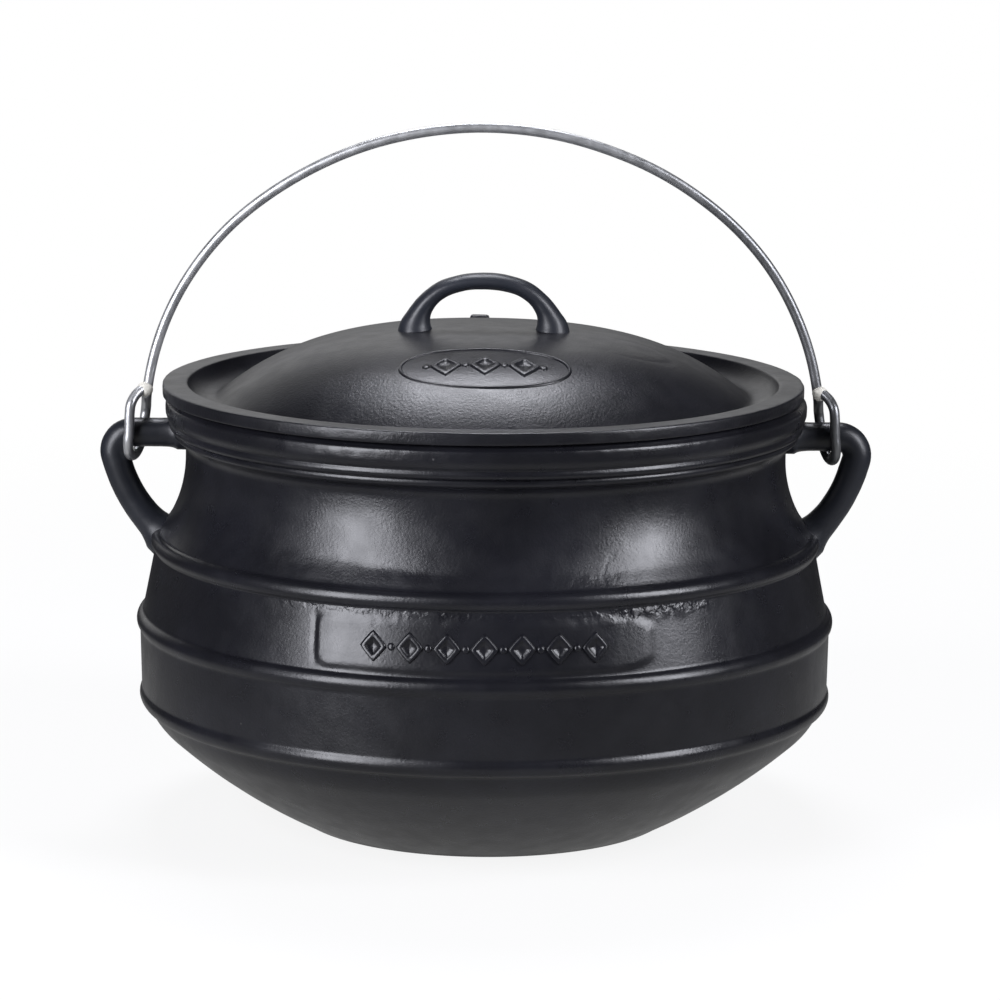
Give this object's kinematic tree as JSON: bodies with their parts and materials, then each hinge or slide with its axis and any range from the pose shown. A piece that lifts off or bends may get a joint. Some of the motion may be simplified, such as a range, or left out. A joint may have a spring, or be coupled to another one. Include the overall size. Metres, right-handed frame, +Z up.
{
  "type": "potjie pot",
  "caption": "Flat-bottomed cast-iron potjie: bulging pot with cast rings and ears, domed lid with a bridge handle, and a galvanised wire bail.",
  "frame": {"origin": "centre of the pot's flat base, on the surface it stands on", "axes": "+Z up along the pot's axis, +X through the ears (to the right in the picture), +Y away from the front with the cast panel"},
  "size_m": [0.3068, 0.2778, 0.2775],
  "materials": {
    "iron": "satin",
    "wire": "satin"
  },
  "bodies": {
    "pot": {"pot_body": "iron", "lid": "iron"},
    "bail": {"bail": "wire"}
  },
  "joints": [
    {"name": "bail_swing", "type": "hinge", "parent": "pot", "child": "bail", "pos_m": [0, 0, 0.1535], "axis": [1, 0, 0], "range_deg": [-71, 71]}
  ]
}
